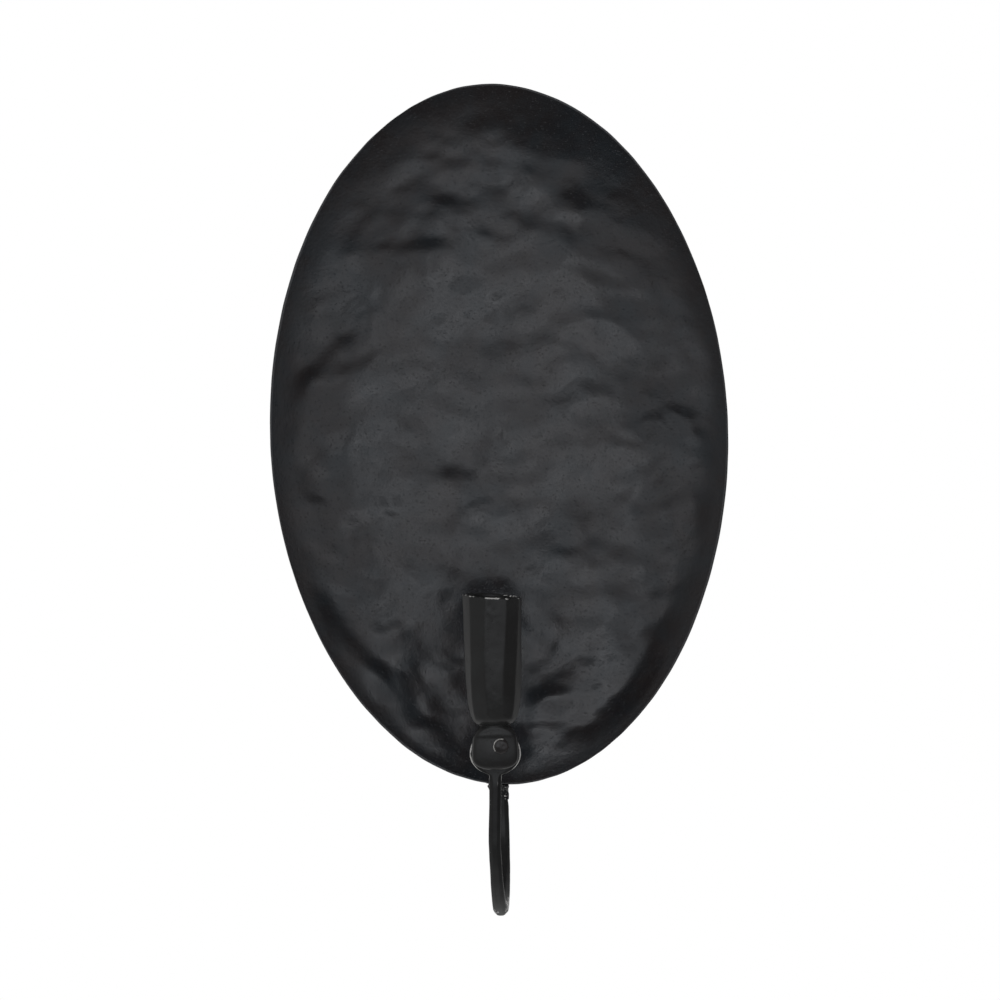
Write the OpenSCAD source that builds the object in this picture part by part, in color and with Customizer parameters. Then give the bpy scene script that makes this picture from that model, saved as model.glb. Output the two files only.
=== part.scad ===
// Wall candle holder: a dished oval plate, a forged arm and a riveted candle cup.
// +Z is up, the viewer stands at -Y and the wall is the plane y = 0.
// The origin is the middle of the keyhole in the hanger strap, on the wall plane.

/* [Plate] */
// Width of the oval plate
plate_w = 220; // [180:1:260]
// Height of the oval plate
plate_h = 336.5; // [300:0.5:380]
// Thickness of the plate's sheet
plate_t = 1.5; // [1:0.1:2.5]
// How far the rim stands forward of the middle
dish_depth = 17; // [15:0.5:20]
// How late the dish turns up towards its rim
dish_power = 3.3; // [2.8:0.1:3.8]
// Fullness of the oval, 2 for a true ellipse
oval_power = 1.97; // [1.9:0.01:2.2]
// Extra width of the oval's upper half, as a share of its width
plate_egg = 0.01; // [0:0.005:0.03]
// Lean of the oval, top towards the left, in degrees
plate_tilt = 2.2; // [0:0.1:4]

/* [Hanger strap] */
// Depth of the keyhole below the top of the plate
keyhole_drop = 42.25; // [40:0.25:48]
// Diameter of the keyhole's round part, for a screw's head
keyhole_d = 9; // [8:0.5:10]
// Width of the keyhole's slot, for a screw's shank
slot_w = 4.5; // [4:0.1:5.5]
// Length of the slot above the middle of the keyhole
slot_rise = 11; // [9:0.5:13]
// Width of the strap
strap_w = 20; // [16:0.5:28]
// Thickness of the strap
strap_t = 1.5; // [1:0.1:2]
// Length of each foot on the plate
foot_len = 8; // [7:0.5:10]
// Metal left between the keyhole and each bend of the strap
strap_edge = 5; // [4:0.5:7]

/* [Arm] */
// Thickness of the bar at the bottom of the loop
bar_d = 7; // [5.5:0.1:9]
// Thickness of the bar where it is drawn down under the leaf
leg_d = 5.7; // [4.5:0.1:8]
// Distance from the wall to the middle of the front leg
arm_reach = 88; // [76:1:96]
// Depth of the loop below the plate's bottom edge
arm_drop = 55; // [51:0.5:70]
// Length of the tongue that lies on the plate's back
tongue_len = 18; // [12:0.5:26]
// Width of the tongue
tongue_w = 8.6; // [7.5:0.1:12]
// Thickness of the tongue
tongue_t = 3; // [2:0.1:5]
// Length of bar that blends the tongue into the round of the bar
tongue_blend = 12; // [8:0.5:14]
// Place of the arm to the right of the plate's middle
arm_x = -0.3; // [-4:0.1:4]
// Sideways twist of the loop, rear leg to the right and front leg to the left
loop_twist = 1.7; // [0:0.1:3]
// Sideways bulge of the loop's bottom to the right
loop_bulge = 1.5; // [0:0.1:2]

/* [Leaf] */
// Width of the arm's spread end
leaf_w = 23; // [20:0.5:28]
// Thickness of the leaf
leaf_t = 3.2; // [2.4:0.1:4.5]
// Height of the leaf's widest place above the plate's bottom edge
leaf_rise = 25; // [20:0.5:40]
// Place of the leaf to the left of the arm's middle
leaf_left = 1.4; // [0:0.1:3]
// Length from the leaf's widest place down to the plain bar
leaf_draw = 15; // [11:0.5:18]

/* [Candle cup] */
// Diameter of the candle
candle_d = 22; // [19:0.5:25]
// Play of the candle in the cup, on the diameter
candle_play = 0.6; // [0.2:0.1:1.2]
// Wall of the cup at its corners
cup_wall = 2.2; // [1.8:0.1:4]
// Depth of the straight bore
socket_depth = 20; // [14:0.5:24]
// Length from the rim to the neck
cup_len = 57.5; // [50:0.5:70]
// Diameter of the neck
neck_d = 13.3; // [10:0.1:15]
// Width of the flattened ball under the neck
ball_w = 21; // [18:0.1:23]
// Height of the ball below the neck
ball_h = 19.5; // [17:0.5:24]
// Length of the slope from the neck down to the arris where the ball's flats begin
ball_slope = 5.3; // [4:0.1:7]
// Height of the ball's middle above the leaf's widest place
ball_up = 1.2; // [0:0.1:3]
// Thickness of the ball between its flats
ball_t = 15; // [12:0.5:17]
// Lean of the cup, top towards the left, in degrees
cup_lean = 1.3; // [0:0.1:3]
// Slant of the rim, down to the right, in degrees
rim_slant = 5; // [0:0.5:8]

/* [Rivet] */
// Diameter of the rivet's shank
rivet_d = 5; // [4:0.1:6]
// Diameter of the round head in front
head_d = 6.8; // [6.4:0.1:9]
// Height of the round head
head_h = 2; // [1.4:0.1:3]
// Diameter of the hammered tail behind the leaf
tail_d = 8; // [7:0.1:10]
// Height of the tail
tail_h = 1.6; // [1.2:0.1:2.5]
// Place of the rivet to the right of the ball's middle
rivet_right = 2.5; // [0:0.1:4]
// Place of the rivet above the ball's middle
rivet_up = 4.5; // [0:0.1:5]

/* [Weld] */
// Thickness of the bead round the bar
weld_w = 2.1; // [1.8:0.1:3]
// Length of the bead below the plate's edge
weld_len = 7; // [5:0.5:9]

/* [Hidden] */
$fn = 64;

// Gap left between faces that lie on each other
seat_gap = 0.05;
// Play of the rivet in its holes, on the radius
rivet_play = 0.05;

// Steps of the curved forms
plate_sectors = 120;
plate_rings = 14;
bar_sides = 24;
cup_sides = 48;
loop_steps = 24;

half_w = plate_w / 2;
half_h = plate_h / 2;
keyhole_rise = half_h - keyhole_drop;
iron = [0.08, 0.08, 0.085];

// Heights are measured from the middle of the plate until hung() moves them to the origin
module hung() {
    translate([0, 0, -keyhole_rise]) children();
}

function mix(a, b, f) = a + (b - a) * f;
function clamp01(f) = min(1, max(0, f));
function smooth(f) = let (c = clamp01(f)) c * c * (3 - 2 * c);

// Faces of a solid lofted through rings of equal size, from its first ring to its last
function loft_faces(rings, sides) = concat(
    [[for (j = [sides - 1:-1:0]) j]],
    [for (i = [0:rings - 2], j = [0:sides - 1], k = [0, 1])
        let (a = i * sides + j, b = i * sides + (j + 1) % sides)
        k == 0 ? [a, b, b + sides] : [a, b + sides, a + sides]],
    [[for (j = [0:sides - 1]) (rings - 1) * sides + j]]
);

module loft(rings) {
    sides = len(rings[0]);
    polyhedron(
        points = [for (r = rings) each r],
        faces = loft_faces(len(rings), sides),
        convexity = 8
    );
}

// The plate's own axes lean with the oval: u across it, v along it
function plate_u(x, z) = x * cos(plate_tilt) + z * sin(plate_tilt);
function plate_v(x, z) = z * cos(plate_tilt) - x * sin(plate_tilt);
function egg(v) = 1 + plate_egg * v / half_h;
function dish_share(u, v) =
    pow(pow(abs(u) / (half_w * egg(v)), oval_power) + pow(abs(v) / half_h, oval_power), 1 / oval_power);
function dish_y(u, v) = -dish_depth * pow(dish_share(u, v), dish_power);

// Back of the plate at a place on the wall plane
function plate_back(x, z) = dish_y(plate_u(x, z), plate_v(x, z));

// Height of the plate's bottom edge at a place across it
function edge_v(u) = -half_h * pow(1 - pow(abs(u) / (half_w * egg(-half_h)), oval_power), 1 / oval_power);
function edge_z(x) = (edge_v(plate_u(x, -half_h)) + x * sin(plate_tilt)) / cos(plate_tilt);
bottom_z = edge_z(arm_x);

// A point of the sheet: on its back, and pushed square through it to the front
function oval_part(f) = sign(f) * pow(abs(f), 2 / oval_power);
function sheet_point(ring, sector, depth) =
    let (share = ring / plate_rings,
         v = half_h * share * oval_part(sin(360 * sector / plate_sectors)),
         u = half_w * egg(v) * share * oval_part(cos(360 * sector / plate_sectors)),
         step = 0.01,
         slope_u = (dish_y(u + step, v) - dish_y(u - step, v)) / (2 * step),
         slope_v = (dish_y(u, v + step) - dish_y(u, v - step)) / (2 * step),
         n = [slope_u, -1, slope_v] / norm([slope_u, -1, slope_v]))
    [u, dish_y(u, v), v] + depth * n;

module back_plate() {
    last = plate_rings * plate_sectors;
    layer = last + 1;
    points = [for (depth = [0, plate_t]) each concat(
        [sheet_point(0, 0, depth)],
        [for (ring = [1:plate_rings], s = [0:plate_sectors - 1]) sheet_point(ring, s, depth)]
    )];
    // Index of a point: layer 0 is the back and layer 1 the front
    function at(side, ring, s) = side * layer + 1 + (ring - 1) * plate_sectors + s % plate_sectors;
    centre = [for (s = [0:plate_sectors - 1], side = [0, 1])
        side == 0 ? [0, at(0, 1, s), at(0, 1, s + 1)] : [layer, at(1, 1, s + 1), at(1, 1, s)]];
    back = [for (r = [1:plate_rings - 1], s = [0:plate_sectors - 1], k = [0, 1])
        k == 0 ? [at(0, r, s), at(0, r + 1, s), at(0, r + 1, s + 1)]
               : [at(0, r, s), at(0, r + 1, s + 1), at(0, r, s + 1)]];
    front = [for (r = [1:plate_rings - 1], s = [0:plate_sectors - 1], k = [0, 1])
        k == 0 ? [at(1, r, s), at(1, r + 1, s + 1), at(1, r + 1, s)]
               : [at(1, r, s), at(1, r, s + 1), at(1, r + 1, s + 1)]];
    rim = [for (s = [0:plate_sectors - 1], k = [0, 1])
        k == 0 ? [at(0, plate_rings, s), at(1, plate_rings, s), at(1, plate_rings, s + 1)]
               : [at(0, plate_rings, s), at(1, plate_rings, s + 1), at(0, plate_rings, s + 1)]];
    color(iron) hung() rotate([0, -plate_tilt, 0])
        polyhedron(points = points, faces = concat(centre, back, front, rim), convexity = 6);
}

// A bent strip's other face: the same path moved sideways by its thickness
function side_of(a, b) = let (d = (b - a) / norm(b - a)) [d[1], -d[0]];
function moved_path(p, t) = [for (i = [0:len(p) - 1])
    let (last = len(p) - 1,
         before = side_of(p[max(i, 1) - 1], p[max(i, 1)]),
         after = side_of(p[min(i, last - 1)], p[min(i, last - 1) + 1]),
         m = (before + after) / norm(before + after))
    p[i] + m * t / (m * before)];

// Where the strap's foot touches the dish, over the strap's whole width
function foot_y(z) = seat_gap + max([for (x = [-0.5, 0, 0.5]) plate_back(x * strap_w, z)]);

module hanger_strap() {
    bridge_low = keyhole_rise - keyhole_d / 2 - strap_edge;
    bridge_high = keyhole_rise + slot_rise + slot_w / 2 + strap_edge;
    bridge_y = -strap_t;
    // Each ramp runs at about 45 degrees from the bridge down to the dish
    low_ramp = bridge_y - foot_y(bridge_low - 4);
    high_ramp = bridge_y - foot_y(bridge_high + 9);
    low_z = bridge_low - low_ramp;
    high_z = bridge_high + high_ramp;
    // Each foot is bent once in its middle to follow the dish
    inner = concat(
        [for (f = [1, 0.5, 0]) [foot_y(low_z - f * foot_len), low_z - f * foot_len]],
        [[bridge_y, bridge_low], [bridge_y, bridge_high]],
        [for (f = [0, 0.5, 1]) [foot_y(high_z + f * foot_len), high_z + f * foot_len]]
    );
    outer = moved_path(inner, strap_t);
    outline = concat(inner, [for (i = [len(outer) - 1:-1:0]) outer[i]]);
    color(iron) hung() difference() {
        translate([-strap_w / 2, 0, 0]) rotate([90, 0, 90])
            linear_extrude(strap_w) polygon(outline);
        translate([0, 0, keyhole_rise]) rotate([90, 0, 0]) {
            cylinder(d = keyhole_d, h = 4 * strap_t, center = true);
            translate([0, slot_rise, 0]) cylinder(d = slot_w, h = 4 * strap_t, center = true);
            translate([-slot_w / 2, 0, -2 * strap_t]) cube([slot_w, slot_rise, 4 * strap_t]);
        }
    }
}

// Radius of a hammered bar's section: eight soft-cornered flats, as a share of its corners
function flats(phi, corners, depth) =
    let (n = len(corners),
         i = max([for (k = [0:n - 1]) corners[k] <= phi ? k : -1]),
         a = i < 0 ? corners[n - 1] - 360 : corners[i],
         b = i < 0 ? corners[0] : i == n - 1 ? corners[0] + 360 : corners[i + 1],
         half = (b - a) / 2)
    mix(1, cos(half) / cos(phi - a - half), depth);

bar_corners = [for (k = [0:7]) 22.5 + 45 * k];
bar_flat = 0.7;

// Where the loop lies, between the rear leg behind the plate's rim and the front leg
rear_y = -dish_depth + seat_gap + bar_d / 2;
loop_r = (arm_reach + rear_y) / 2;
loop_y = -arm_reach + loop_r;
loop_z = bottom_z - arm_drop + bar_d / 2 + loop_r;
leaf_z = bottom_z + leaf_rise;
leaf_front = -arm_reach - leaf_t / 2;
leaf_x = arm_x - leaf_left;

// Sideways place of the loop at an angle: 0 at the rear leg, 180 at the front leg
function loop_x(a) = arm_x + loop_twist * cos(a) + loop_bulge * sin(a);

// The tongue and rear leg in level sections, with their front face on the plate
function rear_share(z) = smooth((bottom_z - z) / tongue_blend);
function rear_half_w(z) =
    let (end = (bottom_z + tongue_len - z) / tongue_len)
    z > bottom_z ? tongue_w / 2 * mix(0.72, 1, smooth(3 * end))
                 : mix(tongue_w / 2, bar_d / 2, rear_share(z));
function rear_half_t(z) =
    z > bottom_z ? tongue_t / 2 * mix(0.6, 1, smooth(3 * (bottom_z + tongue_len - z) / tongue_len))
                 : mix(tongue_t / 2, bar_d / 2, rear_share(z));
function rear_x(z) = mix(arm_x - 0.6, loop_x(0), rear_share(z));
function rear_face(x, z) = z > edge_z(x) ? plate_back(x, z) : -dish_depth;
function rear_point(z, phi, grow) =
    let (f = mix(1, flats(phi, bar_corners, bar_flat), rear_share(z)),
         x = rear_x(z) + (rear_half_w(z) * f + grow) * cos(phi),
         t = rear_half_t(z))
    [x, rear_face(x, z) + seat_gap + t + (t * f + grow) * sin(phi), z];

// The loop and front leg in sections square to the bar
function bar_ring(centre, a, half_x, half_n, flatness, clip) = [for (j = [0:bar_sides - 1])
    let (phi = 360 * j / bar_sides,
         f = flats(phi, bar_corners, bar_flat * flatness),
         n = half_n * min(1, max(-1, clip * f * sin(phi))))
    centre + [half_x * f * cos(phi), n * cos(a), -n * sin(a)]];

// The leaf's half width at a height: drawn out of the bar, round on top
function leaf_half_w(z) =
    let (f = clamp01((z - leaf_z + leaf_draw) / leaf_draw))
    mix(leg_d / 2, leaf_w / 2, smooth(pow(f, 1.2)));

function front_ring(z) =
    let (f = smooth((z - leaf_z + leaf_draw) / (leaf_draw * 0.6)),
         x = mix(loop_x(180), leaf_x, smooth((z - loop_z) / (leaf_z - leaf_draw - loop_z))),
         thick = mix(leg_d, leaf_t, f) / 2)
    bar_ring([x, -arm_reach, z], 180, leaf_half_w(z), thick, 1 - f, 1 + 0.6 * f);

module arm_blank() {
    tongue_steps = 8;
    blend_steps = 8;
    leg_steps = 4;
    draw_steps = 10;
    round_steps = 8;
    tongue_top = bottom_z + tongue_len;
    draw_z = leaf_z - leaf_draw;
    tongue = [for (i = [0:tongue_steps])
        let (z = mix(tongue_top, bottom_z, i / tongue_steps))
        [for (j = [0:bar_sides - 1]) rear_point(z, 360 * j / bar_sides, 0)]];
    blend = [for (i = [1:blend_steps])
        let (z = mix(bottom_z, bottom_z - tongue_blend, i / blend_steps))
        [for (j = [0:bar_sides - 1]) rear_point(z, 360 * j / bar_sides, 0)]];
    loop = [for (i = [0:loop_steps])
        let (a = 180 * i / loop_steps,
             half = mix(bar_d, leg_d, smooth((a - 90) / 90)) / 2)
        bar_ring([loop_x(a), loop_y + loop_r * cos(a), loop_z - loop_r * sin(a)], a, half, half, 1, 1)];
    leg = [for (i = [1:leg_steps]) front_ring(mix(loop_z, draw_z, i / leg_steps))];
    draw = [for (i = [1:draw_steps]) front_ring(mix(draw_z, leaf_z, i / draw_steps))];
    // The round top of the leaf ends in a short flat
    round_top = [for (i = [1:round_steps])
        let (b = 75 * i / round_steps, z = leaf_z + leaf_w / 2 * sin(b))
        bar_ring([leaf_x, -arm_reach, z], 180, leaf_w / 2 * cos(b), leaf_t / 2, 0, 1.6)];
    loft(concat(tongue, blend, loop, leg, draw, round_top));
}

// The ball's middle lies on the leaf, and the cup's axis leans about it
ball_x = leaf_x;
ball_y = leaf_front - seat_gap - ball_t / 2;
ball_z = leaf_z + ball_up;
ball_rise = ball_h * 0.656;
rivet_x = ball_x + rivet_right;
rivet_z = ball_z + rivet_up;

module rivet_hole() {
    translate([rivet_x, ball_y - ball_t, rivet_z]) rotate([-90, 0, 0])
        cylinder(r = rivet_d / 2 + rivet_play, h = 3 * ball_t);
}

module arm() {
    color(iron) hung() difference() {
        arm_blank();
        rivet_hole();
    }
}

// A bead of weld round the bar, up against the plate's edge
module arm_weld() {
    sides = bar_sides;
    steps = 6;
    function weld_z(i, x) = edge_z(x) - seat_gap - weld_len * i / steps;
    function weld_grow(i, phi) =
        let (f = i / steps)
        weld_w * pow(1 - f, 1.3) * (1 + 0.1 * sin(3 * phi + 40 * i)) + 0.25;
    function weld_point(i, phi, grow) =
        let (x = rear_point(bottom_z - weld_len * i / steps, phi, grow)[0])
        rear_point(weld_z(i, x), phi, grow);
    outer = [for (i = [0:steps]) [for (j = [0:sides - 1])
        let (phi = 360 * j / sides) weld_point(i, phi, weld_grow(i, phi))]];
    inner = [for (i = [0:steps]) [for (j = [0:sides - 1])
        weld_point(i, 360 * j / sides, seat_gap)]];
    wall = steps * sides + sides;
    function side_faces(start, turn) = [for (i = [0:steps - 1], j = [0:sides - 1], k = [0, 1])
        let (a = start + i * sides + j, b = start + i * sides + (j + 1) % sides)
        turn ? (k == 0 ? [a, b + sides, b] : [a, a + sides, b + sides])
             : (k == 0 ? [a, b, b + sides] : [a, b + sides, a + sides])];
    function end_faces(i, turn) = [for (j = [0:sides - 1], k = [0, 1])
        let (a = i * sides + j, b = i * sides + (j + 1) % sides)
        turn ? (k == 0 ? [a, a + wall, b + wall] : [a, b + wall, b])
             : (k == 0 ? [a, b + wall, a + wall] : [a, b, b + wall])];
    color(iron) hung() polyhedron(
        points = concat([for (r = outer) each r], [for (r = inner) each r]),
        faces = concat(side_faces(0, false), side_faces(wall, true),
                       end_faces(0, true), end_faces(steps, false)),
        convexity = 6
    );
}

// Corners of the cup's ten hammered sides, seen from above, 90 towards the viewer
cup_corners = [10, 32, 61, 100, 135, 176, 215, 252, 290, 331];
cup_r = (candle_d + candle_play) / 2 + cup_wall;
neck_r = neck_d / 2;
// Share of the radius that the cup loses on its way down
cup_taper = 0.28;
cup_flat = 0.7;

// Outer radius of the cup below its rim, and of the hollow round the neck
function body_r(d) =
    let (f = min(1, d / cup_len))
    neck_r + (cup_r - neck_r) * (1 - cup_taper * f) * sqrt(1 - pow(f, 8));
function hollow_r(d) =
    let (r = neck_d / 8, f = min(1, abs(d - cup_len) / r))
    neck_r + r * (1 - sqrt(1 - f * f));

// The ball's half width below the neck: a slope, a nearly straight side, a round bottom
arris_share = 0.93;
function ball_r(low) =
    let (f = (low - ball_slope) / (ball_rise - ball_slope),
         g = (low - ball_rise) / (ball_h - ball_rise))
    ball_w / 2 * (
        low < ball_slope ? mix(neck_d / ball_w, arris_share, low / ball_slope)
        : low < ball_rise ? mix(arris_share, 1, sin(90 * f))
        : pow(max(0, 1 - pow(g, 2.5)), 0.4));

// Half thickness of the ball between its slightly domed flats, which slope in to the flattened neck
neck_depth = neck_r * 0.87;
ball_fullness = 2.9;
ball_dome_r = 34;
function flat_y(low, x) =
    mix(neck_depth, ball_t / 2, clamp01(low / ball_slope))
    - (x * x + pow(low - ball_rise, 2)) / (2 * ball_dome_r) * smooth(low / ball_slope);
function full(f) = sign(f) * pow(abs(f), 2 / ball_fullness);

// A point of the ball: round at the neck, with full sides and two flats below it
function ball_point(low, r, phi) =
    let (formed = smooth(low / 3),
         x = r * mix(cos(phi), full(cos(phi)), formed),
         flat = flat_y(low, x),
         y = r * mix(sin(phi) * neck_depth / neck_r, full(sin(phi)), formed))
    [x, -min(flat, max(-flat, y)), -cup_len - low];

// One level section of the forging: faceted cup, neck thinned from the front, ball between two flats
function cup_ring(d, r, facet, slant) = [for (j = [0:cup_sides - 1])
    let (phi = 360 - 360 * j / cup_sides,
         f = r * flats(phi, cup_corners, facet),
         narrow = mix(1, neck_depth / neck_r, smooth((d - cup_len + 3) / 3)))
    d > cup_len ? ball_point(d - cup_len, r, phi)
                : [f * cos(phi), -f * sin(phi) * narrow, -d - slant * f * cos(phi)]];

module cup_blank() {
    body_steps = 14;
    slope_steps = 2;
    ball_steps = 10;
    body_end = 0.99;
    body = [for (i = [0:body_steps])
        let (f = i == body_steps ? 1 : body_end * (1 - pow(1 - i / body_steps, 1.6)),
             d = cup_len * f,
             facet = cup_flat * (1 - smooth((f - 0.85) / 0.15)))
        cup_ring(d, max(body_r(d), hollow_r(d)), facet, tan(rim_slant) * (1 - smooth(f * 4)))];
    slope = [for (i = [1:slope_steps])
        let (low = ball_slope * i / slope_steps)
        cup_ring(cup_len + low, ball_r(low), 0, 0)];
    ball = [for (i = [1:ball_steps])
        let (low = mix(ball_slope, ball_h * 0.985, 1 - pow(1 - i / ball_steps, 1.5)))
        cup_ring(cup_len + low, ball_r(low), 0, 0)];
    loft(concat(body, slope, ball));
}

module candle_cup() {
    bore_r = (candle_d + candle_play) / 2;
    over = 5;
    cone_len = cup_len * 0.35;
    color(iron) hung() difference() {
        translate([ball_x, ball_y, ball_z]) rotate([0, -cup_lean, 0])
            translate([0, 0, cup_len + ball_rise]) difference() {
                cup_blank();
                translate([0, 0, -socket_depth]) cylinder(r = bore_r, h = socket_depth + over);
                translate([0, 0, -socket_depth - cone_len])
                    cylinder(r1 = neck_r / 2, r2 = bore_r, h = cone_len);
            }
        rivet_hole();
    }
}

// A low round rivet head standing on the plane z = 0
module rivet_head(d, h) {
    r = (d * d / 4 + h * h) / (2 * h);
    intersection() {
        translate([0, 0, h - r]) sphere(r = r);
        cylinder(d = d, h = h);
    }
}

module cup_rivet() {
    front_y = ball_y - ball_t / 2;
    back_y = -arm_reach + leaf_t / 2;
    color(iron) hung() translate([rivet_x, front_y, rivet_z]) rotate([-90, 0, 0]) {
        cylinder(d = rivet_d, h = back_y - front_y);
        mirror([0, 0, 1]) rivet_head(head_d, head_h);
        translate([0, 0, back_y - front_y]) rivet_head(tail_d, tail_h);
    }
}

back_plate();
hanger_strap();
arm();
arm_weld();
candle_cup();
cup_rivet();
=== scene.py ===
import bpy
import math
import numpy as np
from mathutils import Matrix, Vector, noise


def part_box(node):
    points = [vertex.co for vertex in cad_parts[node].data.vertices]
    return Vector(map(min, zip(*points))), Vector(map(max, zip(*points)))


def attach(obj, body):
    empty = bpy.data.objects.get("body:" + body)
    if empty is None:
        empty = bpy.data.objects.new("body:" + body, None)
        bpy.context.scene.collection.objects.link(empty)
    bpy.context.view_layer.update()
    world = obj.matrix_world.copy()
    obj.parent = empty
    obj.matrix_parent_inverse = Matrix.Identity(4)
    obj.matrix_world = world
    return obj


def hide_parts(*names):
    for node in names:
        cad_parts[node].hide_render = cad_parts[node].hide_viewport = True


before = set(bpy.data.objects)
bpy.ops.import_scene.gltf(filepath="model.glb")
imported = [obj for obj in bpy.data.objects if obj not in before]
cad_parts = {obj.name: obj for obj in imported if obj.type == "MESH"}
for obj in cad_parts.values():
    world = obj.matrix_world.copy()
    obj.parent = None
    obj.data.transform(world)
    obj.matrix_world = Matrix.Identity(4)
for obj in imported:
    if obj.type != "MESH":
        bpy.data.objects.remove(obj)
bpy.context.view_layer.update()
# A seed makes the dents the same in every run: without one, Blender's noise starts from the clock
noise.seed_set(7)


# The back plate
# Sheet iron 1.5 mm thick, cut to an oval by hand and dished with a round-faced hammer from the
# viewer's side, blow beside blow. A band along the edge keeps its rolled surface. It is finished in
# a thin black satin lacquer, rubbed along its cut edge, and the arm is welded to its bottom edge.
plate_low, plate_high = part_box("back_plate")
plate_mid_z = (plate_low.z + plate_high.z) / 2
plate_half_w = 0.110
plate_half_h = 0.16825
plate_sheet = 0.0015
plate_tilt = math.radians(2.2)
oval_power = 1.97
oval_egg = 0.01
dish_depth = 0.017
dish_power = 3.3
belly_gap = 0.0014
plate_rim_points = 400
cut_edge_bevel = 0.00028
# The shears left the outline short here and there, by at most these shares of its half size
slow_trim = 0.0016
quick_trim = 0.0010
# The border that the hammer spared, and the stretch in which its marks come up, longer at the top
spared_border = 0.003
border_fade = 0.014
border_fade_at_top = 0.020
# Length of a hammer mark over its width, how far it leans at the sides, and how much that varies
mark_length = 1.6
mark_lean = 0.8
mark_scatter = 0.35


def smooth(share):
    share = np.clip(share, 0, 1)
    return share * share * (3 - 2 * share)


def mix(a, b, share):
    return a + (b - a) * share


def between(value, low, high):
    """0 at low, 1 at high, smooth in between."""
    return smooth((value - low) / (high - low))


def turned(across, up, angle):
    """A place across and up, after a turn to the left by an angle."""
    cos = math.cos(angle)
    sin = math.sin(angle)
    return across * cos - up * sin, across * sin + up * cos


def dish_share(u, v):
    """How far out a place of the plate lies: 0 in the middle, 1 on the edge."""
    egg = 1 + oval_egg * v / plate_half_h
    across = np.abs(u) / (plate_half_w * egg)
    along = np.abs(v) / plate_half_h
    return (across**oval_power + along**oval_power) ** (1 / oval_power)


def dish_back(x, z):
    """The plate's back at a place on the wall plane, with z from the plate's middle."""
    u, v = turned(x, z, -plate_tilt)
    return -mix(belly_gap, dish_depth, dish_share(u, v) ** dish_power)


def mesh_points(piece):
    points = np.empty(len(piece.data.vertices) * 3)
    piece.data.vertices.foreach_get("co", points)
    return points.reshape(-1, 3)


def mesh_normals(piece):
    normals = np.empty(len(piece.data.vertices) * 3)
    piece.data.vertices.foreach_get("normal", normals)
    return normals.reshape(-1, 3)


def set_points(piece, points):
    piece.data.vertices.foreach_set("co", np.asarray(points, float).ravel())
    piece.data.update()


def select_only(piece):
    bpy.ops.object.select_all(action="DESELECT")
    piece.select_set(True)
    bpy.context.view_layer.objects.active = piece


def add_modifier(piece, kind, **settings):
    select_only(piece)
    modifier = piece.modifiers.new(kind.lower(), kind)
    for key, value in settings.items():
        setattr(modifier, key, value)
    bpy.ops.object.modifier_apply(modifier=modifier.name)


def turn_faces_out(piece):
    select_only(piece)
    bpy.ops.object.mode_set(mode="EDIT")
    bpy.ops.mesh.select_all(action="SELECT")
    bpy.ops.mesh.normals_make_consistent(inside=False)
    bpy.ops.object.mode_set(mode="OBJECT")


# A point's share of bare iron: real edge wear, and highlights painted on as bare spots
def read_wear_and_highlight(piece):
    wear_and_highlight = np.empty(len(piece.data.vertices))
    piece.data.attributes["wear_and_highlight"].data.foreach_get("value", wear_and_highlight)
    return wear_and_highlight


def write_wear_and_highlight(piece, wear_and_highlight):
    layer = piece.data.attributes.get("wear_and_highlight") or piece.data.attributes.new("wear_and_highlight", "FLOAT", "POINT")
    layer.data.foreach_set("value", wear_and_highlight.astype(np.float32))


def mark_worn_edges(piece, sharpness, rounds=1):
    """Write how far each point stands out from its neighbours: 0 on flats and in hollows, 1 on edges."""
    points = mesh_points(piece)
    total = len(points)
    ends = np.empty(len(piece.data.edges) * 2, int)
    piece.data.edges.foreach_get("vertices", ends)
    a, b = ends.reshape(-1, 2).T
    count = np.maximum(np.bincount(a, minlength=total) + np.bincount(b, minlength=total), 1)

    def around(values):
        return (np.bincount(a, values[b], total) + np.bincount(b, values[a], total)) / count

    middle = np.stack([around(points[:, k]) for k in range(3)], axis=1)
    lengths = np.linalg.norm(points[a] - points[b], axis=1)
    reach = (np.bincount(a, lengths, total) + np.bincount(b, lengths, total)) / count
    rise = ((points - middle) * mesh_normals(piece)).sum(axis=1)
    bend_per_mm = rise / np.maximum(reach, 1e-9) ** 2 * 0.001
    wear_and_highlight = smooth(bend_per_mm / sharpness)
    for _ in range(rounds):
        wear_and_highlight = mix(wear_and_highlight, around(wear_and_highlight), 0.5)
    write_wear_and_highlight(piece, wear_and_highlight)


def finish_piece(piece, node, material, smooth_angle=40):
    select_only(piece)
    bpy.ops.object.shade_smooth_by_angle(angle=math.radians(smooth_angle))
    piece.data.materials.clear()
    piece.data.materials.append(material)
    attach(piece, "root")
    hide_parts(node)


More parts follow.
